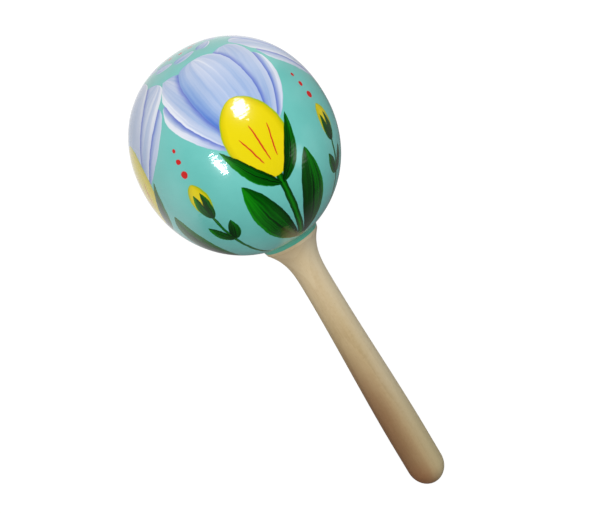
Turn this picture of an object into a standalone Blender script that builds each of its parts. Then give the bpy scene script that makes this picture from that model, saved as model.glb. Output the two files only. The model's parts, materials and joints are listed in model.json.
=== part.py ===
# Wooden maraca, lying on its side: a hollow turned head in two glued halves, a turned
# handle tenoned into the neck, and dried peas loose in the chamber.
# Metres, +Z up. The origin is on the floor, under the middle of the whole object.

import math

import bmesh
import bpy
from mathutils import Vector
from mathutils.geometry import intersect_point_line

# Head, measured from its widest plane
HEAD_DIAMETER = 0.080
CROWN_HEIGHT = 0.043
CROWN_FULLNESS = 2.15  # exponent of the crown's curve: 2 is an ellipse, more is fuller
BASE_DEPTH = 0.0427  # where the base's ellipse would close, below the neck
WALL = 0.006  # at the widest plane
CROWN_WALL = 0.006  # at the crown's pole
LAP_LENGTH = 0.005  # spigot of the glued step joint between the halves

# Neck, where head and handle meet
NECK_DIAMETER = 0.0248  # where the base's curve ends and the collar starts
COLLAR_DIAMETER = 0.0230  # at the collar's end, where the handle's shoulder meets it
COLLAR_LENGTH = 0.0027
NECK_WALL = 0.0105  # chamber floor to the collar's end, filled by the tenon
TENON_DIAMETER = 0.014
TENON_CHAMFER = 0.0008

# Handle, in the order of its runs from the neck down
FLARE_LENGTH = 0.0202
FLARE_POWER = 3.15  # how soon the flare draws in below the shoulder
WAIST_DIAMETER = 0.0124
SWELL_LENGTH = 0.0795
GRIP_DIAMETER = 0.0158
GRIP_LENGTH = 0.0135
END_DOME = 0.009

# Peas, in rings round one in the middle
PEA_DIAMETER = 0.007
PEA_SPACING = 0.0004  # free space between neighbours, so that they pass each other
PEA_RINGS = 2

# Clearances
GLUE_GAP = 0.0003  # between glued faces
PEA_GAP = 0.0003  # between a pea and the chamber wall

# Facets
TURNED_STEPS = 48
CROWN_CUTS = 11
UPPER_CUTS = 2  # on the base, above its rest facet
BASE_CUTS = 10  # below it
CHAMBER_CUTS = 9
FLARE_CUTS = 8
FLARE_CROWDING = 1.5  # brings the flare's cuts closer to the shoulder, where it bends most
SWELL_CUTS = 8
DOME_CUTS = 6
REST_FACET = math.radians(6)  # the facet that the head lies on, in the ellipse's angle
PEA_SEGMENTS = 12
PEA_BANDS = 8
SHARP_ANGLE = math.radians(35)
MERGE_DISTANCE = 0.00001
HALVINGS = 60  # steps of each search by halving

# Sizes that follow from those above. Depths run from the widest plane towards the handle.
HEAD_RADIUS = HEAD_DIAMETER / 2
NECK_RADIUS = NECK_DIAMETER / 2
COLLAR_RADIUS = COLLAR_DIAMETER / 2
NECK_ANGLE = math.acos(NECK_RADIUS / HEAD_RADIUS)
COLLAR_END = BASE_DEPTH * math.sin(NECK_ANGLE) + COLLAR_LENGTH
SHOULDER = COLLAR_END + GLUE_GAP
WAIST = SHOULDER + FLARE_LENGTH
GRIP_START = WAIST + SWELL_LENGTH
DOME_START = GRIP_START + GRIP_LENGTH
CHAMBER_RADIUS = HEAD_RADIUS - WALL
CHAMBER_HEIGHT = CROWN_HEIGHT - CROWN_WALL
CHAMBER_DEPTH = COLLAR_END - NECK_WALL
LAP_RADIUS = HEAD_RADIUS - WALL / 2
SOCKET_RADIUS = TENON_DIAMETER / 2 + GLUE_GAP
PEA_RADIUS = PEA_DIAMETER / 2
FLAT = math.cos(math.pi / TURNED_STEPS)  # middle of a facet, as a share of its corner radius


def span(start, end, cuts):
    return [start + (end - start) * i / cuts for i in range(cuts + 1)]


def crown_curve(radius, height, cuts):
    # From the pole to the widest plane, as (radius, depth)
    power = 2 / CROWN_FULLNESS
    angles = span(0, math.pi / 2, cuts)
    points = [(radius * math.sin(a) ** power, -height * math.cos(a) ** power) for a in angles[:-1]]
    return points + [(radius, 0.0)]


def base_point(radius, depth, angle):
    return (radius * math.cos(angle), depth * math.sin(angle))


def handle_curve():
    # Below the shoulder, down to the end of the grip
    waist_radius = WAIST_DIAMETER / 2
    grip_radius = GRIP_DIAMETER / 2
    points = []
    for i in range(FLARE_CUTS + 1):
        share = (i / FLARE_CUTS) ** FLARE_CROWDING
        radius = waist_radius + (COLLAR_RADIUS - waist_radius) * (1 - share) ** FLARE_POWER
        points.append((radius, SHOULDER + FLARE_LENGTH * share))
    for share in span(0, 1, SWELL_CUTS)[1:]:
        rise = share * share * (3 - 2 * share)
        points.append((waist_radius + (grip_radius - waist_radius) * rise, WAIST + SWELL_LENGTH * share))
    for angle in span(0, math.pi / 2, DOME_CUTS)[:-1]:
        points.append((grip_radius * math.cos(angle), DOME_START + END_DOME * math.sin(angle)))
    return points + [(0.0, DOME_START + END_DOME)]


def reach(points, lean):
    # How far facet middles stand out from the axis, measured square to a floor at that lean
    return max(r * FLAT * math.cos(lean) + s * math.sin(lean) for r, s in points)


def head_reach(lean):
    ellipse = math.hypot(HEAD_RADIUS * FLAT * math.cos(lean), BASE_DEPTH * math.sin(lean))
    return ellipse * math.cos(REST_FACET / 2)


def lying_lean():
    # The lean at which the head's rest facet and the handle's end both touch the floor
    handle = handle_curve()
    low, high = 0.0, math.pi / 2
    for _ in range(HALVINGS):
        lean = (low + high) / 2
        if reach(handle, lean) > head_reach(lean):
            high = lean
        else:
            low = lean
    return lean


LEAN = lying_lean()
REST_ANGLE = math.atan2(BASE_DEPTH * math.sin(LEAN), HEAD_RADIUS * FLAT * math.cos(LEAN))


def crown_half_profile():
    outer = crown_curve(HEAD_RADIUS, CROWN_HEIGHT, CROWN_CUTS)[:-1]
    rim = [(HEAD_RADIUS, -GLUE_GAP / 2), (LAP_RADIUS, -GLUE_GAP / 2)]
    spigot_angle = math.asin(LAP_LENGTH / CHAMBER_DEPTH)
    spigot = [(LAP_RADIUS, LAP_LENGTH), base_point(CHAMBER_RADIUS, CHAMBER_DEPTH, spigot_angle)]
    inner = crown_curve(CHAMBER_RADIUS, CHAMBER_HEIGHT, CHAMBER_CUTS)
    return outer + rim + spigot + inner[::-1]


def neck_half_profile():
    rest_start = REST_ANGLE - REST_FACET / 2
    rest_end = REST_ANGLE + REST_FACET / 2
    above = span(math.asin(GLUE_GAP / 2 / BASE_DEPTH), rest_start, UPPER_CUTS)
    below = span(rest_end, NECK_ANGLE, BASE_CUTS)
    outer = [base_point(HEAD_RADIUS, BASE_DEPTH, a) for a in above + below]
    neck = [(COLLAR_RADIUS, COLLAR_END), (SOCKET_RADIUS, COLLAR_END)]
    socket_angle = math.acos(SOCKET_RADIUS / CHAMBER_RADIUS)
    rebate_angle = math.asin((LAP_LENGTH + GLUE_GAP) / CHAMBER_DEPTH)
    chamber = span(socket_angle, rebate_angle, CHAMBER_CUTS)
    inner = [base_point(CHAMBER_RADIUS, CHAMBER_DEPTH, a) for a in chamber]
    rebate_radius = LAP_RADIUS + GLUE_GAP
    rebate = [(rebate_radius, LAP_LENGTH + GLUE_GAP), (rebate_radius, GLUE_GAP / 2)]
    return outer + neck + inner + rebate


def handle_profile():
    radius = TENON_DIAMETER / 2
    tenon = [(0.0, CHAMBER_DEPTH), (radius - TENON_CHAMFER, CHAMBER_DEPTH)]
    tenon += [(radius, CHAMBER_DEPTH + TENON_CHAMFER), (radius, SHOULDER)]
    return tenon + handle_curve()


def finish(name, colour, roughness):
    material = bpy.data.materials.new(name)
    material.use_nodes = True
    shader = material.node_tree.nodes["Principled BSDF"]
    shader.inputs["Base Color"].default_value = (*colour, 1.0)
    shader.inputs["Roughness"].default_value = roughness
    shader.inputs["Metallic"].default_value = 0.0
    return material


def turned(name, profile, closed, material, parent, collection):
    # A profile of (radius, depth) points turned about the maraca's own axis
    mesh = bpy.data.meshes.new(name)
    edges = [(i, i + 1) for i in range(len(profile) - 1)]
    if closed:
        edges.append((len(profile) - 1, 0))
    mesh.from_pydata([(r, 0.0, -s) for r, s in profile], edges, [])
    piece = bpy.data.objects.new(name, mesh)
    collection.objects.link(piece)
    screw = piece.modifiers.new("Turned", "SCREW")
    screw.axis = "Z"
    screw.steps = TURNED_STEPS
    screw.render_steps = TURNED_STEPS
    screw.use_merge_vertices = True
    screw.merge_threshold = MERGE_DISTANCE
    depsgraph = bpy.context.evaluated_depsgraph_get()
    solid = bpy.data.meshes.new_from_object(piece.evaluated_get(depsgraph))
    piece.modifiers.clear()
    piece.data = solid
    bpy.data.meshes.remove(mesh)
    solid.name = name
    solid.shade_smooth()
    solid.set_sharp_from_angle(angle=SHARP_ANGLE)
    solid.materials.append(material)
    piece.rotation_euler.z = math.pi / TURNED_STEPS
    piece.parent = parent
    return piece


def chamber_outline():
    # The chamber's wall as the facets leave it, and the tenon's end
    crown = crown_curve(CHAMBER_RADIUS, CHAMBER_HEIGHT, CHAMBER_CUTS)
    socket_angle = math.acos(SOCKET_RADIUS / CHAMBER_RADIUS)
    rebate_angle = math.asin((LAP_LENGTH + GLUE_GAP) / CHAMBER_DEPTH)
    base = [
        base_point(CHAMBER_RADIUS, CHAMBER_DEPTH, a)
        for a in span(rebate_angle, socket_angle, CHAMBER_CUTS)
    ]
    tenon = [(SOCKET_RADIUS, CHAMBER_DEPTH), (0.0, CHAMBER_DEPTH)]
    return [Vector((r * FLAT, s, 0.0)) for r, s in crown + base + tenon]


def wall_distance(place, outline):
    # From a place given about the head's centre to the nearest point of the chamber wall
    depth = place.x * math.cos(LEAN) - place.z * math.sin(LEAN)
    radius = math.hypot(place.x * math.sin(LEAN) + place.z * math.cos(LEAN), place.y)
    point = Vector((radius, depth, 0.0))
    nearest = []
    for start, end in zip(outline, outline[1:]):
        share = intersect_point_line(point, start, end)[1]
        foot = start.lerp(end, min(max(share, 0.0), 1.0))
        nearest.append((foot - point).length)
    return min(nearest)


def seat(x, y, side, outline):
    # How far a pea goes down (side -1) or up (side 1) from the level of the head's centre
    low, high = 0.0, HEAD_RADIUS
    for _ in range(HALVINGS):
        level = (low + high) / 2
        if wall_distance(Vector((x, y, side * level)), outline) > PEA_RADIUS + PEA_GAP:
            low = level
        else:
            high = level
    return side * low


def pea_places():
    # A ring of six times its number, on the sides of a hexagon
    pitch = PEA_DIAMETER + PEA_SPACING
    lowest = (CHAMBER_DEPTH**2 - CHAMBER_RADIUS**2) * math.sin(LEAN) * math.cos(LEAN) / CHAMBER_RADIUS
    places = [(lowest, 0.0)]
    for ring in range(1, PEA_RINGS + 1):
        for side in range(6):
            turn = side * math.pi / 3
            corner = Vector((math.cos(turn), math.sin(turn)))
            along = Vector((math.cos(turn + 2 * math.pi / 3), math.sin(turn + 2 * math.pi / 3)))
            for step in range(ring):
                place = corner * pitch * ring + along * pitch * step
                places.append((lowest + place.x, place.y))
    return places


def pea_mesh(material):
    mesh = bpy.data.meshes.new("pea")
    ball = bmesh.new()
    bmesh.ops.create_uvsphere(ball, u_segments=PEA_SEGMENTS, v_segments=PEA_BANDS, radius=PEA_RADIUS)
    ball.to_mesh(mesh)
    ball.free()
    mesh.shade_smooth()
    mesh.materials.append(material)
    return mesh


def guide(name, collection):
    empty = bpy.data.objects.new(name, None)
    collection.objects.link(empty)
    return empty


def main():
    for leftover in list(bpy.data.objects):
        bpy.data.objects.remove(leftover)
    collection = bpy.data.collections.new("wooden_maraca")
    bpy.context.scene.collection.children.link(collection)

    enamel = finish("turquoise_enamel", (0.20, 0.62, 0.50), 0.12)
    bare_wood = finish("bare_wood", (0.60, 0.45, 0.27), 0.50)
    pea_skin = finish("dried_pea", (0.62, 0.50, 0.20), 0.60)

    # The maraca's own axis, leaning so that head and handle end lie on the floor
    outer = crown_half_profile() + neck_half_profile() + handle_curve()
    ends = [s * math.cos(LEAN) + turn * r * FLAT * math.sin(LEAN) for r, s in outer for turn in (-1, 1)]
    centre = Vector((-(min(ends) + max(ends)) / 2, 0.0, head_reach(LEAN)))
    axis = guide("maraca_axis", collection)
    axis.location = centre
    axis.rotation_euler.y = LEAN - math.pi / 2
    turned("head_crown_half", crown_half_profile(), False, enamel, axis, collection)
    turned("head_neck_half", neck_half_profile(), True, enamel, axis, collection)
    turned("handle", handle_profile(), False, bare_wood, axis, collection)

    # Peas, resting on the chamber wall about an upright guide at the head's centre
    upright = guide("head_centre", collection)
    upright.location = centre
    outline = chamber_outline()
    mesh = pea_mesh(pea_skin)
    for number, (x, y) in enumerate(pea_places(), start=1):
        pea = bpy.data.objects.new(f"pea_{number:02d}", mesh)
        collection.objects.link(pea)
        pea.parent = upright
        rest = seat(x, y, -1, outline)
        pea.location = (x, y, rest)
        travel = seat(x, y, 1, outline) - rest
        print(f"{pea.name} travels {travel * 1000:.2f} mm up to the far wall")
    print(f"lean {math.degrees(LEAN):.3f} degrees, head centre {tuple(round(v, 6) for v in centre)}")


main()
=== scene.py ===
import json
import math
import bmesh
import bpy
from mathutils import Matrix, Vector, noise


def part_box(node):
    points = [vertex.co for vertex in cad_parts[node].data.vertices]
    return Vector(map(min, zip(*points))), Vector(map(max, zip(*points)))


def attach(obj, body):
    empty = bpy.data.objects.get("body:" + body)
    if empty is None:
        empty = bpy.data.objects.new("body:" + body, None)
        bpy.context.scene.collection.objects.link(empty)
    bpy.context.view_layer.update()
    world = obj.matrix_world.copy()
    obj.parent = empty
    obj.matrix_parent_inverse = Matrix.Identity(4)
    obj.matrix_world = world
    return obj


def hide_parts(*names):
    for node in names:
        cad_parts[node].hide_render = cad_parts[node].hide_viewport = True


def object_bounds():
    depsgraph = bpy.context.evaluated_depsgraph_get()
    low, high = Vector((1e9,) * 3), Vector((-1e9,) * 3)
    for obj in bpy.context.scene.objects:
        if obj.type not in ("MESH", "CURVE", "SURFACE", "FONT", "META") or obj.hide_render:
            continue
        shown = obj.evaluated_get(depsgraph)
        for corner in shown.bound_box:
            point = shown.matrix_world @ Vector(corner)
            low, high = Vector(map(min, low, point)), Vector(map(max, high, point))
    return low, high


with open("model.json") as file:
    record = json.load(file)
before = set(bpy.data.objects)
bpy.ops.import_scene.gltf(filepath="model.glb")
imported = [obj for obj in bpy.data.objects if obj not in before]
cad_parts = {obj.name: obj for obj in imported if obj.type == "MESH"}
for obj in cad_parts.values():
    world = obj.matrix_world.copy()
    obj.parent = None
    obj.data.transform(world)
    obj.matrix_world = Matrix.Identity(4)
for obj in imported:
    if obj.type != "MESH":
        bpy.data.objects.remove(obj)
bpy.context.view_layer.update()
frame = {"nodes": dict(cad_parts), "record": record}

# The maraca's own axis comes from the grip mount: it lies on the axis, gripDepth from the head's centre
maraca = {
    "headRadius": 0.040,
    "crownHeight": 0.043,
    "crownFullness": 2.15,
    "baseDepth": 0.0427,
    "wall": 0.006,
    "neckRadius": 0.0124,
    "collarRadius": 0.0115,
    "collarLength": 0.0027,
    "neckWall": 0.0105,
    "flareLength": 0.0202,
    "flarePower": 3.15,
    "waistRadius": 0.0062,
    "swellLength": 0.0795,
    "gripRadius": 0.0079,
    "gripLength": 0.0135,
    "endDome": 0.009,
    "glueGap": 0.0003,
}
mm = 0.001  # the patterns of the paint and the grain are laid out in mm
neckAngle = math.acos(maraca["neckRadius"] / maraca["headRadius"])
collarEnd = maraca["baseDepth"] * math.sin(neckAngle) + maraca["collarLength"]
shoulder = collarEnd + maraca["glueGap"]
waist = shoulder + maraca["flareLength"]
gripStart = waist + maraca["swellLength"]
domeStart = gripStart + maraca["gripLength"]
gripDepth = gripStart + maraca["gripLength"] / 2
gripMount = next(m for m in frame["record"]["mounts"] if m["name"] == "grip")
axisDir = Vector(gripMount["axis"]).normalized()
headCentre = Vector(gripMount["pos_m"]) - axisDir * gripDepth
sideDir = Vector((0, 1, 0))
upDir = axisDir.cross(sideDir).normalized()
if upDir.z < 0:
    upDir.negate()
lean = math.asin(-axisDir.z)
axisFrame = Matrix((upDir, sideDir, -axisDir)).transposed().to_4x4()
axisFrame.translation = headCentre
print("axis frame: lean", round(math.degrees(lean), 2), "head centre", [round(c, 5) for c in headCentre])


class Wire:
    # a shader socket that takes part in Python expressions
    tree = None

    def __init__(self, socket):
        self.socket = socket

    @classmethod
    def node(cls, kind, settings={}, inputs={}, output=0):
        made = cls.tree.nodes.new(kind)
        for name, value in settings.items():
            if name == "stops":
                ramp = made.color_ramp
                while len(ramp.elements) < len(value):
                    ramp.elements.new(0.5)
                for stop, (place, colour) in zip(ramp.elements, value):
                    stop.position = place
                    stop.color = colour
            else:
                setattr(made, name, value)
        for name, value in inputs.items():
            if isinstance(value, Wire):
                cls.tree.links.new(value.socket, made.inputs[name])
            else:
                made.inputs[name].default_value = value
        return cls(made.outputs[output])

    @classmethod
    def maths(cls, operation, *values):
        return cls.node("ShaderNodeMath", {"operation": operation}, dict(enumerate(values)))

    def __add__(self, other):
        return Wire.maths("ADD", self, other)

    def __radd__(self, other):
        return Wire.maths("ADD", other, self)

    def __sub__(self, other):
        return Wire.maths("SUBTRACT", self, other)

    def __rsub__(self, other):
        return Wire.maths("SUBTRACT", other, self)

    def __mul__(self, other):
        return Wire.maths("MULTIPLY", self, other)

    def __rmul__(self, other):
        return Wire.maths("MULTIPLY", other, self)

    def __truediv__(self, other):
        return Wire.maths("DIVIDE", self, other)

    def __rtruediv__(self, other):
        return Wire.maths("DIVIDE", other, self)

    def __pow__(self, other):
        return Wire.maths("POWER", self, other)

    def __abs__(self):
        return Wire.maths("ABSOLUTE", self)


def vectorMaths(operation, inputs, output=0):
    return Wire.node("ShaderNodeVectorMath", {"operation": operation}, inputs, output)


def bump(strength, depth, height):
    return Wire.node("ShaderNodeBump", {}, {"Strength": strength, "Distance": depth, "Height": height})


def smooth(value, low, high):
    limits = {"Value": value, "From Min": low, "From Max": high, "To Min": 0.0, "To Max": 1.0}
    return Wire.node("ShaderNodeMapRange", {"interpolation_type": "SMOOTHSTEP"}, limits)


def paint(under, over, mask):
    return Wire.node("ShaderNodeMix", {"data_type": "RGBA"}, {0: mask, 6: under, 7: over}, 2)


def point(x, y, z):
    return Wire.node("ShaderNodeCombineXYZ", {}, {0: x, 1: y, 2: z})


def grainNoise(place, scale, detail=3.0, rough=0.5, output=0):
    values = {"Vector": place, "Scale": scale, "Detail": detail, "Roughness": rough}
    return Wire.node("ShaderNodeTexNoise", {}, values, output)


def drawnNoise(up, across, depth, scales, detail):
    # noise with one scale across the maraca's axis and another along it
    wide, long = scales
    return grainNoise(point(up * wide, across * wide, depth * long), 1.0, detail)


def rgb(red, green, blue):
    # a colour as a picture editor gives it, 0 to 255, for a shader socket
    levels = [c / 255 for c in (red, green, blue)]
    linear = [c / 12.92 if c <= 0.04045 else ((c + 0.055) / 1.055) ** 2.4 for c in levels]
    return (*linear, 1.0)


def axisPlace():
    # the shaded place in mm from the head's centre, and how far up, across and along the axis it lies
    world = Wire.node("ShaderNodeTexCoord", {}, {}, "Object")
    moved = vectorMaths("SUBTRACT", {0: world, 1: headCentre})
    place = vectorMaths("SCALE", {0: moved, "Scale": 1 / mm})
    ways = upDir, sideDir, axisDir
    return place, *(vectorMaths("DOT_PRODUCT", {0: place, 1: way}, "Value") for way in ways)


def newMaterial(name):
    material = bpy.data.materials.new(name)
    material.use_nodes = True
    Wire.tree = material.node_tree
    shader = material.node_tree.nodes["Principled BSDF"]
    return material, shader


def feed(shader, name, value):
    if isinstance(value, Wire):
        Wire.tree.links.new(value.socket, shader.inputs[name])
    else:
        shader.inputs[name].default_value = value


headArc = (maraca["headRadius"] + maraca["baseDepth"]) / 2 / mm  # along the head for a radian of climb


def headMap():
    # a place on the painted head: its turn round the axis, mm out from it and mm up from the widest ring
    place, up, across, depth = axisPlace()
    turn = Wire.maths("ARCTAN2", across, up)
    out = Wire.maths("SQRT", up * up + across * across)
    level = depth * (-mm / maraca["baseDepth"])
    climb = Wire.maths("ARCTAN2", level, out * (mm / maraca["headRadius"]))
    return place, turn, out, climb * headArc


def repeats(turn, out, count, shift=0.0):
    # the number of the repeat that a place falls in, and how far aside of its middle line it lies
    step = 2 * math.pi / count
    number = Wire.maths("ROUND", turn * (1 / step) - shift)
    aside = (turn - (number + shift) * step) * out
    return Wire.maths("FLOORED_MODULO", number, count), aside


def stroke(aside, climb, foot, angle, length, width, bend=0.0, rise=0.7, taper=0.5):
    # a brush stroke from its foot: mm inside its edge, share of its length, and share of its half width
    lean = math.radians(angle)
    x = aside - foot[0]
    y = climb - foot[1]
    along = (x * math.sin(lean) + y * math.cos(lean)) * (1 / length)
    off = x * math.cos(lean) - y * math.sin(lean) - along * along * bend
    peak = rise ** rise * taper ** taper / (rise + taper) ** (rise + taper)
    half = along ** rise * (1 - along) ** taper * (width / peak)
    return half - abs(off), along, off / Wire.maths("MAXIMUM", half, 0.05)


def bristles(along, off, seed, count):
    # streaks that a brush leaves along its stroke, so many across it
    return grainNoise(point(off * count, along * 0.7, seed), 1.0, 2.0)


def brushed(along, off, seed, hairs):
    # broad streaks and fine ones over them, each with their number across and their strength
    (broad, strong), (fine, weak) = hairs
    return bristles(along, off, seed, broad) * strong + bristles(along, off, seed + 4.0, fine) * weak


def blendOf(stops, tone):
    places = [i / (len(stops) - 1) for i in range(len(stops))]
    return Wire.node("ShaderNodeValToRGB", {"stops": list(zip(places, stops))}, {"Fac": tone}, "Color")


def dab(aside, climb, middle, radius):
    x = aside - middle[0]
    y = climb - middle[1]
    return radius - Wire.maths("SQRT", x * x + y * y)


# The head's paint: a ground coat, then tulips, leaves and bud sprigs that rise from the neck, all in mm
enamel = {
    "ground": (rgb(95, 184, 175), rgb(111, 196, 188), rgb(133, 208, 201)),
    "groundScale": 0.05,
    # a darker, greener tone round the neck and onto the collar: painted shade and reflection where the
    # head turns away
    "collar": rgb(92, 178, 154),
    "collarShadeFrom": (-45.0, -47.5),
    "edge": 0.3,  # over which a stroke's edge blends
    "tulips": 4,
    "layout": -0.36,  # turns the whole design round the head, in tulips
    "wobble": 1.5,  # the hand's slow drift off the pattern
    "wobbleScale": 0.10,
    "tremble": 0.4,  # and its quick one
    "trembleScale": 0.5,
    "bow": 0.04,  # each tulip leans its own way from its foot
    "bowFoot": -20.0,
    "bowSeed": 3.3,
    "roughness": 0.07,
    "gloss": 1.55,
    "sheen": 0.3,  # a weak dull coat gives the soft glow round the highlights
    "sheenRoughness": 0.22,
    "ripple": 0.00008,
    "unevenness": 0.8,
    "unevenScale": 0.3,
    "rings": 0.75,  # the lathe's fine rings under the paint
    "ringScales": (0.2, 1.0),
}
petalPaint = {
    "tones": (
        rgb(84, 122, 202),
        rgb(138, 167, 214),
        rgb(169, 188, 221),
        rgb(193, 204, 228),
        rgb(228, 232, 242),
    ),
    "hairs": ((2.6, 1.1), (9.0, 0.45)),
    "darkness": 0.54,
    "tipLight": 0.45,
    "rimLight": 0.3,
    "rimDark": 0.35,
    "shadow": rgb(58, 84, 192),  # round each petal, on the ones laid before it
    "shadowReach": 2.4,
    "shadowShare": 0.8,
}
petals = (
    {"foot": (3.0, 4.8), "angle": 31.0, "length": 33.0, "width": 9.4, "bend": 1.0, "taper": 0.45},
    {"foot": (1.8, 2.1), "angle": 17.0, "length": 43.0, "width": 11.0, "bend": -0.8, "taper": 0.42},
    {"foot": (0.0, -0.6), "angle": 0.0, "length": 47.0, "width": 11.8, "taper": 0.42},
)
heart = {
    "shape": {
        "foot": (0.0, -9.4),
        "angle": 0.0,
        "length": 32.0,
        "width": 12.0,
        "rise": 0.5,
        "taper": 0.55,
    },
    "tones": (rgb(146, 180, 14), rgb(212, 194, 3), rgb(220, 201, 3), rgb(227, 208, 10)),
    "rimFade": 0.36,  # from the lime rim to the yellow, per mm
    "hairs": (1.5, 0.5),
    "darkness": 0.27,
    "stamen": rgb(206, 52, 26),
    "stamens": (
        {"foot": (0.0, -2.8), "angle": 0.0, "length": 14.5, "width": 0.45, "rise": 0.2, "taper": 0.2},
        {"foot": (2.9, -2.8), "angle": 15.0, "length": 12.2, "width": 0.45, "rise": 0.2, "taper": 0.2},
    ),
}
foliage = {
    "tones": (rgb(0, 28, 2), rgb(0, 56, 2), rgb(0, 86, 2), rgb(14, 132, 8)),
    "hairs": ((2.0, 1.1), (8.0, 0.8)),
    "darkness": 0.66,
    "tipLight": 0.5,
    "sideLight": 0.25,
    "ribDark": 0.5,
    "stemLight": 0.95,
    "stemRound": 0.8,  # how much darker a stem's edges are
    "leaf": {
        "foot": (0.6, -47.5),
        "angle": 25.0,
        "length": 43.5,
        "width": 5.6,
        "bend": -5.0,
        "rise": 1.1,
        "taper": 0.8,
    },
    "stem": {"foot": (0.0, -48.0), "angle": 0.0, "length": 43.0, "width": 1.6, "rise": 0.12, "taper": 0.1},
    "sepal": {
        "foot": (0.2, -12.8),
        "angle": 52.0,
        "length": 24.5,
        "width": 2.9,
        "bend": -8.0,
        "taper": 0.8,
    },
}
sprig = {
    "stem": {"foot": (0.0, -47.0), "angle": 0.0, "length": 39.0, "width": 0.8, "rise": 0.1, "taper": 0.1},
    "leaf": {
        "foot": (0.2, -25.0),
        "angle": 38.0,
        "length": 11.0,
        "width": 2.4,
        "bend": -2.0,
        "taper": 0.8,
    },
    "bud": {"foot": (0.0, -11.0), "angle": 0.0, "length": 14.0, "width": 4.2, "rise": 0.6, "taper": 0.6},
    "cup": {"foot": (0.2, -12.0), "angle": 22.0, "length": 11.0, "width": 1.9, "bend": -3.0, "taper": 0.8},
    "berry": rgb(204, 30, 28),
    "berries": (((0.0, 7.0), 1.5), ((0.0, 12.0), 1.2), ((0.0, 16.2), 0.9)),
}
wreath = {
    "count": 8,
    "comma": {"foot": (-4.6, 50.5), "angle": 64.0, "length": 9.8, "width": 2.4, "bend": 2.4, "taper": 0.8},
    "berry": ((0.0, 58.5), 1.1),
}


def covers(inside):
    return smooth(inside, 0.0, enamel["edge"])


def paintFoliage(colour, shape, aside, climb, seed):
    inside, along, off = stroke(aside, climb, **shape)
    rib = smooth(abs(off), 0.12, 0.02) * smooth(along, 0.85, 0.6)
    light = along * foliage["tipLight"] + off * foliage["sideLight"] - rib * foliage["ribDark"]
    tone = brushed(along, off, seed, foliage["hairs"]) + light - foliage["darkness"]
    return paint(colour, blendOf(foliage["tones"], tone), covers(inside))


def paintStem(colour, shape, aside, climb):
    inside, _, off = stroke(aside, climb, **shape)
    tone = foliage["stemLight"] - abs(off) * foliage["stemRound"]
    return paint(colour, blendOf(foliage["tones"], tone), covers(inside))


def paintPetal(colour, laid, shape, aside, climb, seed):
    inside, along, off = stroke(aside, climb, **shape)
    middle = smooth(along, 0.0, 0.15) * smooth(along, 1.04, 0.9)
    shade = smooth(inside, -petalPaint["shadowReach"], 0.4) * middle * petalPaint["shadowShare"]
    colour = paint(colour, petalPaint["shadow"], shade * laid)
    pale = smooth(off, 0.55, 0.95) * petalPaint["rimLight"]
    dark = smooth(off, -0.45, -0.95) * petalPaint["rimDark"]
    light = along * petalPaint["tipLight"] + pale - dark
    tone = brushed(along, off, seed, petalPaint["hairs"]) + light - petalPaint["darkness"]
    mask = covers(inside) * smooth(along, 0.0, 0.25)  # the paint thins out towards the foot
    colour = paint(colour, blendOf(petalPaint["tones"], tone), mask)
    return colour, Wire.maths("MAXIMUM", laid, mask)


def paintHeart(colour, shape, aside, climb, seed):
    inside, along, off = stroke(aside, climb, **shape)
    count, strength = heart["hairs"]
    hairs = bristles(along, off, seed, count) * strength
    tone = inside * heart["rimFade"] + hairs - heart["darkness"]
    return paint(colour, blendOf(heart["tones"], tone), covers(inside))


def paintTulip(colour, aside, climb, number):
    both = abs(aside)
    seed = number * 3.7 + Wire.maths("SIGN", aside)  # other brush marks on each side of each tulip
    colour = paintFoliage(colour, foliage["leaf"], both, climb, seed)
    colour = paintStem(colour, foliage["stem"], aside, climb)
    laid = 0.0
    for order, shape in enumerate(petals):
        outline = both if shape["angle"] else aside
        colour, laid = paintPetal(colour, laid, shape, outline, climb, seed + order * 9.1)
    colour = paintHeart(colour, heart["shape"], aside, climb, seed)
    for shape in heart["stamens"]:
        colour = paint(colour, heart["stamen"], covers(stroke(both, climb, **shape)[0]))
    return paintFoliage(colour, foliage["sepal"], both, climb, seed)


def paintSprig(colour, aside, climb, number):
    both = abs(aside)
    seed = number * 5.3 + Wire.maths("SIGN", aside)  # and on each sprig
    colour = paintStem(colour, sprig["stem"], aside, climb)
    colour = paintFoliage(colour, sprig["leaf"], both, climb, seed)
    colour = paintHeart(colour, sprig["bud"], aside, climb, seed)
    colour = paintFoliage(colour, sprig["cup"], both, climb, seed)
    for middle, radius in sprig["berries"]:
        colour = paint(colour, sprig["berry"], covers(dab(aside, climb, middle, radius)))
    return colour


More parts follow.
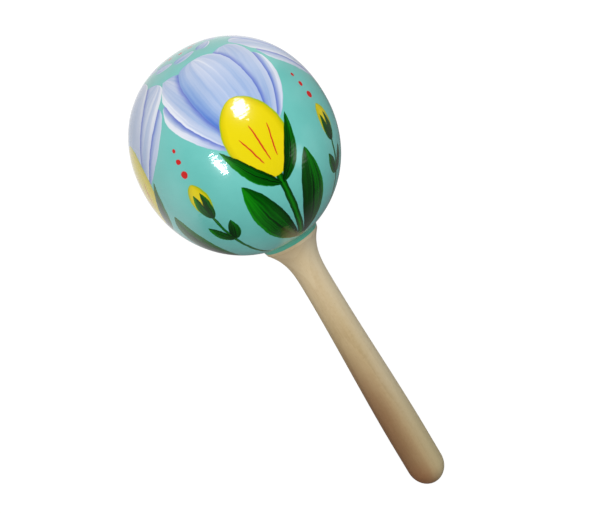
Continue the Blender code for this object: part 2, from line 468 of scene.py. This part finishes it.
def enamelMaterial():
    material, shader = newMaterial("turquoise_enamel")
    place, turn, out, climb = headMap()
    colour = blendOf(enamel["ground"], grainNoise(place, enamel["groundScale"]))
    # painted shade and reflection round the neck and the collar
    colour = paint(colour, enamel["collar"], smooth(climb, *enamel["collarShadeFrom"]))
    tremble = (grainNoise(place, enamel["trembleScale"], 2.0) - 0.5) * enamel["tremble"]
    shift = grainNoise(place, enamel["wobbleScale"], 2.0, 0.5, "Color")
    sway, lift = (Wire.node("ShaderNodeSeparateXYZ", {}, {0: shift}, side) - 0.5 for side in "XY")
    drift = sway * enamel["wobble"] + tremble
    up = climb + lift + tremble
    number, aside = repeats(turn, out, enamel["tulips"], enamel["layout"] + 0.5)
    seed = number + enamel["bowSeed"]
    luck = Wire.node("ShaderNodeTexWhiteNoise", {"noise_dimensions": "1D"}, {"W": seed})
    bow = (luck - 0.5) * enamel["bow"] * (up - enamel["bowFoot"])
    colour = paintTulip(colour, aside + drift + bow, up, number)
    number, aside = repeats(turn, out, enamel["tulips"], enamel["layout"])
    colour = paintSprig(colour, aside + drift, up, number)
    number, aside = repeats(turn, out, wreath["count"])
    colour = paintPetal(colour, 0.0, wreath["comma"], aside + drift, up, number)[0]
    colour = paint(colour, sprig["berry"], covers(dab(aside, up, *wreath["berry"])))
    feed(shader, "Base Color", colour)
    feed(shader, "Roughness", enamel["roughness"])
    feed(shader, "IOR", enamel["gloss"])
    feed(shader, "Coat Weight", enamel["sheen"])
    feed(shader, "Coat Roughness", enamel["sheenRoughness"])
    rings = drawnNoise(*axisPlace()[1:], enamel["ringScales"], 1.0) * enamel["rings"]
    ripple = grainNoise(place, enamel["unevenScale"], 2.0) * enamel["unevenness"] + rings
    feed(shader, "Normal", bump(1.0, enamel["ripple"], ripple))
    return material


# The bare wood: growth rings about a pith far off the axis, fine fibres and short flecks along it
bareWood = {
    "tones": (rgb(188, 162, 120), rgb(206, 184, 145), rgb(215, 195, 157)),
    "honey": (rgb(184, 159, 110), rgb(203, 181, 135), rgb(212, 192, 146)),  # from the waist on
    "honeyFrom": (55.0, 100.0),
    "heart": (rgb(124, 84, 50), rgb(139, 99, 61), rgb(154, 115, 76)),  # along one side and towards the end: partly a browner tone of the wood itself, partly painted shade on the side away from the lamps
    "shadedSideFrom": (70.0, 140.0),
    "shadedSide": (9.0, -10.0),
    "endShade": rgb(140, 82, 46),  # round the end, on the shaded side: painted shade
    "endShadeFrom": (152.0, 168.0),
    "endShadeSide": (5.0, -6.0),
    "endShadeShare": 0.6,
    "sideSheen": (rgb(207, 196, 168), rgb(190, 178, 138)),  # paler and greyer along the other side, near the neck and further on: painted sheen of the white surroundings
    "sideSheenFrom": (95.0, 155.0),
    "sideSheenSide": (1.0, 9.0),
    "sideSheenShare": 0.7,
    "pith": (-62.0, 24.0),
    "ringWidth": 2.8,
    "ringSway": 5.0,
    "swayScales": (0.05, 0.02),
    "ringDark": 0.22,
    "fibreScales": (3.0, 0.08),
    "fibreLight": 0.5,
    "blotchScales": (0.08, 0.05),
    "blotchLight": 0.7,
    "mottleScale": 0.9,
    "mottleLight": 0.4,
    "darkness": 0.15,
    "fleck": rgb(170, 138, 98),
    "fleckScales": (3.6, 0.4),
    "fleckShare": 0.35,
    "roughness": (0.36, 0.16),  # of the smooth wood, and what the fibres add
    "grainDepth": 0.00003,
}


def woodMaterial():
    material, shader = newMaterial("bare_wood")
    place, up, across, depth = axisPlace()
    sway = drawnNoise(up, across, depth, bareWood["swayScales"], 2.0) - 0.5
    x = up - bareWood["pith"][0]
    y = across - bareWood["pith"][1]
    fromPith = Wire.maths("SQRT", x * x + y * y) + sway * bareWood["ringSway"]
    ring = fromPith * (1 / bareWood["ringWidth"])
    late = Wire.maths("FRACT", ring)
    ringTone = smooth(late, 0.2, 0.95) * smooth(late, 1.0, 0.95)
    fibre = drawnNoise(up, across, depth, bareWood["fibreScales"], 3.0)
    blotch = drawnNoise(up, across, depth, bareWood["blotchScales"], 2.0)
    mottle = grainNoise(place, bareWood["mottleScale"])
    light = fibre * bareWood["fibreLight"] + blotch * bareWood["blotchLight"]
    light = light + mottle * bareWood["mottleLight"]
    tone = light - ringTone * bareWood["ringDark"] - bareWood["darkness"]
    honey = blendOf(bareWood["honey"], tone)
    colour = paint(blendOf(bareWood["tones"], tone), honey, smooth(depth, *bareWood["honeyFrom"]))
    fleck = smooth(drawnNoise(up, across, depth, bareWood["fleckScales"], 1.0), 0.66, 0.76)
    colour = paint(colour, bareWood["fleck"], fleck * bareWood["fleckShare"])
    # blotches make the borders of the painted shade on one side, the painted shade at the end and the
    # painted sheen on the other side uneven
    shadedSideShare = smooth(depth + blotch * 20.0, *bareWood["shadedSideFrom"])
    shadedSideShare = shadedSideShare * smooth(across - blotch * 4.0, *bareWood["shadedSide"])
    # the shaded side: partly the wood's own browner tone, partly painted shade
    colour = paint(colour, blendOf(bareWood["heart"], tone), shadedSideShare)
    # painted shade round the end, on the side away from the lamps
    endShadeShare = smooth(depth + blotch * 8.0, *bareWood["endShadeFrom"]) * bareWood["endShadeShare"]
    colour = paint(colour, bareWood["endShade"], endShadeShare * smooth(across, *bareWood["endShadeSide"]))
    # painted sheen of the white surroundings along the other side
    sideSheen = paint(*bareWood["sideSheen"], smooth(depth, *bareWood["sideSheenFrom"]))
    sideSheenShare = smooth(across + blotch * 2.0 + mottle * 2.0, *bareWood["sideSheenSide"])
    colour = paint(colour, sideSheen, sideSheenShare * bareWood["sideSheenShare"])
    feed(shader, "Base Color", colour)
    plain, added = bareWood["roughness"]
    feed(shader, "Roughness", plain + fibre * added)
    feed(shader, "Normal", bump(0.6, bareWood["grainDepth"], fibre - fleck))
    return material


driedPea = {
    "radius": 0.00345,
    "wrinkle": 0.00028,
    "pits": 0.0001,
    "pitScale": 2.4,
    "tones": (rgb(150, 122, 62), rgb(190, 164, 92), rgb(214, 192, 124)),
    "mottleScale": 0.7,
    "speckleScale": 3.2,
    "speckleShare": 0.5,
    "roughness": (0.5, 0.25),
}


def peaMaterial():
    material, shader = newMaterial("dried_pea")
    place = axisPlace()[0]
    mottle = grainNoise(place, driedPea["mottleScale"], 4.0)
    colour = blendOf(driedPea["tones"], mottle * 1.4 - 0.2)
    speckle = smooth(grainNoise(place, driedPea["speckleScale"], 2.0), 0.58, 0.7)
    colour = paint(colour, driedPea["tones"][0], speckle * driedPea["speckleShare"])
    feed(shader, "Base Color", colour)
    plain, added = driedPea["roughness"]
    feed(shader, "Roughness", plain + mottle * added)
    feed(shader, "Normal", bump(0.5, driedPea["pits"], grainNoise(place, driedPea["pitScale"])))
    return material


def span(start, end, cuts):
    return [start + (end - start) * i / cuts for i in range(cuts + 1)]


def rounded(before, corner, after, cuts):
    # an eased corner of a profile, as the curve that starts and ends on its two sides
    def bend(a, b, c, t):
        return (1 - t) ** 2 * a + 2 * t * (1 - t) * b + t * t * c

    return [tuple(bend(*sides, t) for sides in zip(before, corner, after)) for t in span(0, 1, cuts)]


def finished(name, shape, finishes):
    # the object of a shape, at the origin, with its place in its mesh
    mesh = bpy.data.meshes.new(name)
    shape.to_mesh(mesh)
    shape.free()
    for finish in finishes:
        mesh.materials.append(finish)
    piece = bpy.data.objects.new(name, mesh)
    bpy.context.scene.collection.objects.link(piece)
    return piece


def turned(name, profile, closed, steps, finishes, hasFirst):
    # spins a profile of (radius, depth) about the maraca's axis, and asks where it has the first finish
    shape = bmesh.new()
    verts = [shape.verts.new((radius, 0.0, -depth)) for radius, depth in profile]
    edges = [shape.edges.new(pair) for pair in zip(verts, verts[1:])]
    if closed:
        edges.append(shape.edges.new((verts[-1], verts[0])))
    bmesh.ops.spin(shape, geom=verts + edges, cent=(0, 0, 0), axis=(0, 0, 1), dvec=(0, 0, 0),
                   angle=2 * math.pi, steps=steps, use_merge=True, use_duplicate=False)
    bmesh.ops.remove_doubles(shape, verts=shape.verts, dist=0.000002)
    bmesh.ops.recalc_face_normals(shape, faces=shape.faces)
    for face in shape.faces:
        middle = face.calc_center_median()
        face.material_index = 0 if hasFirst(math.hypot(middle.x, middle.y), -middle.z) else 1
    shape.transform(axisFrame)
    piece = finished(name, shape, finishes)
    piece.data.shade_smooth()
    piece.data.set_sharp_from_angle(angle=math.radians(30))
    return piece


def crownCurve(radius, height, cuts):
    power = 2 / maraca["crownFullness"]
    angles = span(0, math.pi / 2, cuts)
    points = [(radius * math.sin(a) ** power, -height * math.cos(a) ** power) for a in angles[:-1]]
    return points + [(radius, 0.0)]


def baseCurve(radius, depth, start, end, cuts):
    return [(radius * math.cos(a), depth * math.sin(a)) for a in span(start, end, cuts)]


headShell = {
    "steps": 160,
    "crownCuts": 90,
    "baseCuts": 80,
    "chamberCuts": 40,
    "spigotCuts": 6,
    "lapLength": 0.005,
    "socketRadius": 0.0073,
    "neckEase": 0.0008,  # the paint fills the corner where the head meets its collar
    "paintedCollar": 0.0017,  # the rest of the collar is bare, as the handle is
    "lipEase": 0.00005,
    "lipCuts": 4,
    "jointFill": 0.9,  # glue fills this share of the joint at the collar
    "easeCuts": 8,
    "skin": 0.93,  # what lies further out than this share of the head, squared, is painted
}
chamberRadius = maraca["headRadius"] - maraca["wall"]
chamberDepth = collarEnd - maraca["neckWall"]


def onHeadSkin(radius, depth):
    out = (radius / maraca["headRadius"]) ** 2 + (depth / maraca["baseDepth"]) ** 2
    return out > headShell["skin"]


def crownHalf():
    lapRadius = maraca["headRadius"] - maraca["wall"] / 2
    spigotAngle = math.asin(headShell["lapLength"] / chamberDepth)
    outer = crownCurve(maraca["headRadius"], maraca["crownHeight"], headShell["crownCuts"])
    spigot = [(lapRadius, 0.0), (lapRadius, headShell["lapLength"])]
    spigotInside = baseCurve(chamberRadius, chamberDepth, spigotAngle, 0, headShell["spigotCuts"])[:-1]
    inner = crownCurve(chamberRadius, maraca["crownHeight"] - maraca["wall"], headShell["chamberCuts"])
    profile = outer + spigot + spigotInside + inner[::-1]
    return turned("head_crown", profile, False, headShell["steps"], (enamelFinish, woodFinish), onHeadSkin)


def neckHalf():
    neckRadius = maraca["neckRadius"]
    collarRadius = maraca["collarRadius"]
    ease = headShell["neckEase"]
    lip = headShell["lipEase"]
    lapRadius = maraca["headRadius"] - maraca["wall"] / 2 + maraca["glueGap"]
    lapEnd = headShell["lapLength"] + maraca["glueGap"]
    corner = (neckRadius, maraca["baseDepth"] * math.sin(neckAngle))
    taper = (neckRadius - collarRadius) / maraca["collarLength"]
    easeAngle = math.acos((neckRadius + ease) / maraca["headRadius"])
    outer = baseCurve(maraca["headRadius"], maraca["baseDepth"], 0, easeAngle, headShell["baseCuts"])
    collarStart = (neckRadius - ease * taper, corner[1] + ease)
    collar = rounded(outer[-1], corner, collarStart, headShell["easeCuts"])[1:]
    paintEnd = corner[1] + headShell["paintedCollar"]
    border = (neckRadius - headShell["paintedCollar"] * taper, paintEnd)
    end = collarEnd + maraca["glueGap"] * headShell["jointFill"]
    lipCorner = (collarRadius + lip * taper, end - lip), (collarRadius, end), (collarRadius - lip, end)
    edge = rounded(*lipCorner, headShell["lipCuts"])
    inner = baseCurve(chamberRadius, chamberDepth, math.acos(headShell["socketRadius"] / chamberRadius),
                      math.asin(lapEnd / chamberDepth), headShell["chamberCuts"])
    rebate = [(lapRadius, lapEnd), (lapRadius, 0.0)]
    profile = outer + collar + [border] + edge + [(headShell["socketRadius"], end)] + inner + rebate
    return turned("head_neck", profile, True, headShell["steps"], (enamelFinish, woodFinish),
                  lambda radius, depth: depth < paintEnd and onHeadSkin(radius, depth))


handleTurning = {
    "steps": 96,
    "flareCuts": 30,
    "swellCuts": 40,
    "domeCuts": 20,
    "tenonRadius": 0.007,
    "tenonEase": 0.0008,
    "brow": 0.00005,
    "browCuts": 4,
    "shoulderEase": 0.008,  # share of the flare
}


def flareRadius(share):
    draw = (1 - share) ** maraca["flarePower"]
    return maraca["waistRadius"] + (maraca["collarRadius"] - maraca["waistRadius"]) * draw


def handlePiece():
    waistRadius = maraca["waistRadius"]
    gripRadius = maraca["gripRadius"]
    tenonRadius = handleTurning["tenonRadius"]
    ease = handleTurning["tenonEase"]
    brow = handleTurning["brow"]
    collarRadius = maraca["collarRadius"]
    profile = [(0.0, chamberDepth), (tenonRadius - ease, chamberDepth), (tenonRadius, chamberDepth + ease)]
    profile.append((tenonRadius, shoulder))
    flare = [(flareRadius(share), shoulder + maraca["flareLength"] * share)
             for share in span(handleTurning["shoulderEase"], 1, handleTurning["flareCuts"])]
    browCorner = (collarRadius - brow, shoulder), (collarRadius, shoulder), flare[0]
    profile += rounded(*browCorner, handleTurning["browCuts"])
    profile += flare[1:]
    for share in span(0, 1, handleTurning["swellCuts"])[1:]:
        rise = share * share * (3 - 2 * share)
        radius = waistRadius + (gripRadius - waistRadius) * rise
        profile.append((radius, waist + maraca["swellLength"] * share))
    for angle in span(0, math.pi / 2, handleTurning["domeCuts"])[:-1]:
        profile.append((gripRadius * math.cos(angle), domeStart + maraca["endDome"] * math.sin(angle)))
    profile.append((0.0, domeStart + maraca["endDome"]))
    return turned("handle_turned", profile, False, handleTurning["steps"], (woodFinish,), lambda *_: True)


def peaPiece(node, number):
    # a dried pea, puckered by noise that starts at another place for each one
    low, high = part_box(node)
    middle = (Vector(low) + Vector(high)) / 2
    shape = bmesh.new()
    bmesh.ops.create_icosphere(shape, subdivisions=4, radius=1.0)
    for vert in shape.verts:
        start = vert.co + Vector((number * 3.1, number * 1.7, 0.0))
        pucker = noise.fractal(start * 1.6, 0.9, 2.1, 3) * 0.6 + abs(noise.noise(start * 3.0)) * 0.4
        vert.co *= driedPea["radius"] - driedPea["wrinkle"] * max(0.0, 0.5 + pucker)
        vert.co += middle
    pea = finished(node + "_dried", shape, (peaFinish,))
    pea.data.shade_smooth()
    return pea


enamelFinish = enamelMaterial()
woodFinish = woodMaterial()
peaFinish = peaMaterial()
print("materials made")

for piece, node, slot in (
    (crownHalf(), "head_crown_half", "turquoise_enamel"),
    (neckHalf(), "head_neck_half", "turquoise_enamel"),
    (handlePiece(), "handle", "bare_wood"),
):
    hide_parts(node)
    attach(piece, "maraca")
print("head and handle turned")

peaNodes = sorted(node for node in frame["nodes"] if node.startswith("pea"))
for number, node in enumerate(peaNodes):
    pea = peaPiece(node, number)
    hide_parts(node)
    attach(pea, node)
print(len(peaNodes), "peas made")

# The camera looks almost straight down, rolled so that the handle runs to the lower right of the picture
view = {
    "pixels": (600, 514),
    "focalPixels": 1288.0,
    "sensor": 36.0,
    "axisTilt": math.radians(16.0),  # the maraca's axis against the picture plane
    "roll": math.radians(59.127),  # its direction in the picture, from the right towards the bottom
    "headPlace": (-0.02468, -0.04240, 0.500),  # right, down and away from the camera
}


def addCamera():
    back = view["axisTilt"] - lean
    forward = Vector((math.sin(back), 0, -math.cos(back)))
    along = Vector((math.cos(back), 0, math.sin(back)))
    right = along * math.cos(view["roll"]) + sideDir * math.sin(view["roll"])
    down = along * math.sin(view["roll"]) - sideDir * math.cos(view["roll"])
    x, y, z = view["headPlace"]
    camera = bpy.data.objects.new("camera", bpy.data.cameras.new("camera"))
    camera.data.sensor_width = view["sensor"]
    camera.data.lens = view["focalPixels"] * view["sensor"] / view["pixels"][0]
    camera.data.clip_start = 0.01
    turn = Matrix((right, -down, -forward)).transposed().to_4x4()
    turn.translation = headCentre - right * x - down * y - forward * z
    camera.matrix_world = turn
    bpy.context.scene.collection.objects.link(camera)
    bpy.context.scene.camera = camera
    return right, -down, -forward


right, top, near = addCamera()
print("camera placed")


def addLight(name, direction, distance, size, power, turn=0.0, spread=180.0):
    # an oval lamp seen from the head in a direction given as right, up and towards the camera
    lamp = bpy.data.lights.new(name, "AREA")
    lamp.shape = "ELLIPSE"
    lamp.size, lamp.size_y = size
    lamp.energy = power
    lamp.spread = math.radians(spread)  # a narrow one fades the lamp's reflection towards its edge
    turn = math.radians(turn)
    aim = (right * direction[0] + top * direction[1] + near * direction[2]).normalized()
    across = (right - aim * right.dot(aim)).normalized()
    up = aim.cross(across)
    wide = across * math.cos(turn) + up * math.sin(turn)
    light = bpy.data.objects.new(name, lamp)
    place = Matrix((wide, aim.cross(wide), aim)).transposed().to_4x4()
    place.translation = headCentre + aim * distance
    light.matrix_world = place
    bpy.context.scene.collection.objects.link(light)


lamps = {
    "key_light": {
        "direction": (0.20, 0.455, 0.868),
        "distance": 0.55,
        "size": (0.154, 0.180),
        "power": 1.7,
    },
    "low_light": {
        "direction": (-0.215, -0.44, 0.872),
        "distance": 0.50,
        "size": (0.13, 0.07),
        "power": 0.9,
        "turn": -40.0,
    },
    "side_light": {
        "direction": (0.951, -0.113, 0.287),
        "distance": 0.55,
        "size": (0.2, 0.3),
        "power": 0.006,
        "spread": 24.0,
    },
}
for name, lamp in lamps.items():
    addLight(name, **lamp)

# The floor and the horizon are white to the eye. The gloss sees them white on one side of the head and dim
# on the other, but for the floor beside the head, under a dark ceiling.
studio = {
    "fill": 0.325,
    "glossFill": 0.015,
    "glossSides": (0.06, 0.95),
    "nearFloor": 0.18,  # the least that the gloss sees of the floor beside the head
    "nearReach": (3.75, 1.25),  # from where it fades, in floorReach
    "whiteSide": (-0.866, 0.5),  # right and up in the picture
    "sideSpread": (-0.5, 0.4),
    "floorReach": 0.08,  # the floor's places are taken in this unit
    "horizonBand": (-0.05, 0.6),
    "floor": (0.6, 0.6, 0.6, 1.0),
    "floorSize": 3.0,
    "floorRoughness": 0.9,
    "whiteness": 0.75,  # the glow's share of the floor to the eye, and the rest keeps the shadow
    "glow": 1.25,
}


def rays():
    kinds = ("Is Camera Ray", "Is Transmission Ray", "Is Glossy Ray")
    camera, through, glossy = (Wire.node("ShaderNodeLightPath", {}, {}, kind) for kind in kinds)
    return Wire.maths("MAXIMUM", camera, through), glossy


def glossLevel(direction):
    towards = right * studio["whiteSide"][0] + top * studio["whiteSide"][1]
    side = vectorMaths("DOT_PRODUCT", {0: direction, 1: towards}, "Value")
    dim, white = studio["glossSides"]
    return smooth(side, *studio["sideSpread"]) * (white - dim) + dim


def addWorld():
    world = bpy.data.worlds.new("studio")
    bpy.context.scene.world = world
    world.use_nodes = True
    Wire.tree = world.node_tree
    background = world.node_tree.nodes["Background"]
    direction = Wire.node("ShaderNodeTexCoord", {}, {}, "Generated")
    height = Wire.node("ShaderNodeSeparateXYZ", {}, {0: direction}, "Z")
    low, high = studio["horizonBand"]
    seen, glossy = rays()
    mirrored = studio["glossFill"] - studio["fill"] + smooth(height, high, low) * glossLevel(direction)
    feed(background, "Color", (1, 1, 1, 1))
    feed(background, "Strength", studio["fill"] + seen * (1 - studio["fill"]) + glossy * mirrored)


def addFloor():
    shape = bmesh.new()
    bmesh.ops.create_grid(shape, x_segments=1, y_segments=1, size=studio["floorSize"])
    bmesh.ops.translate(shape, verts=shape.verts, vec=(0, 0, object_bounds()[0][2]))
    material, shader = newMaterial("pale_floor")
    floor = finished("floor", shape, (material,))
    feed(shader, "Base Color", studio["floor"])
    feed(shader, "Roughness", studio["floorRoughness"])
    feed(shader, "Specular IOR Level", 0.0)
    place = Wire.node("ShaderNodeTexCoord", {}, {}, "Object")
    moved = vectorMaths("SUBTRACT", {0: place, 1: headCentre})
    away = vectorMaths("SCALE", {0: moved, "Scale": 1 / studio["floorReach"]})
    distance = vectorMaths("LENGTH", {0: away}, "Value")
    beside = smooth(distance, *studio["nearReach"]) * studio["nearFloor"]
    seen, glossy = rays()
    level = seen * studio["glow"] + glossy * Wire.maths("MAXIMUM", glossLevel(away), beside)
    glow = Wire.node("ShaderNodeEmission", {}, {"Color": level, "Strength": 1.0})
    lit = Wire(shader.outputs["BSDF"])
    mix = Wire.node("ShaderNodeMixShader", {}, {0: seen * studio["whiteness"] + glossy, 1: lit, 2: glow})
    Wire.tree.links.new(mix.socket, Wire.tree.nodes["Material Output"].inputs["Surface"])


addWorld()
addFloor()
bpy.context.scene.view_settings.view_transform = "Standard"
print("light and floor set")
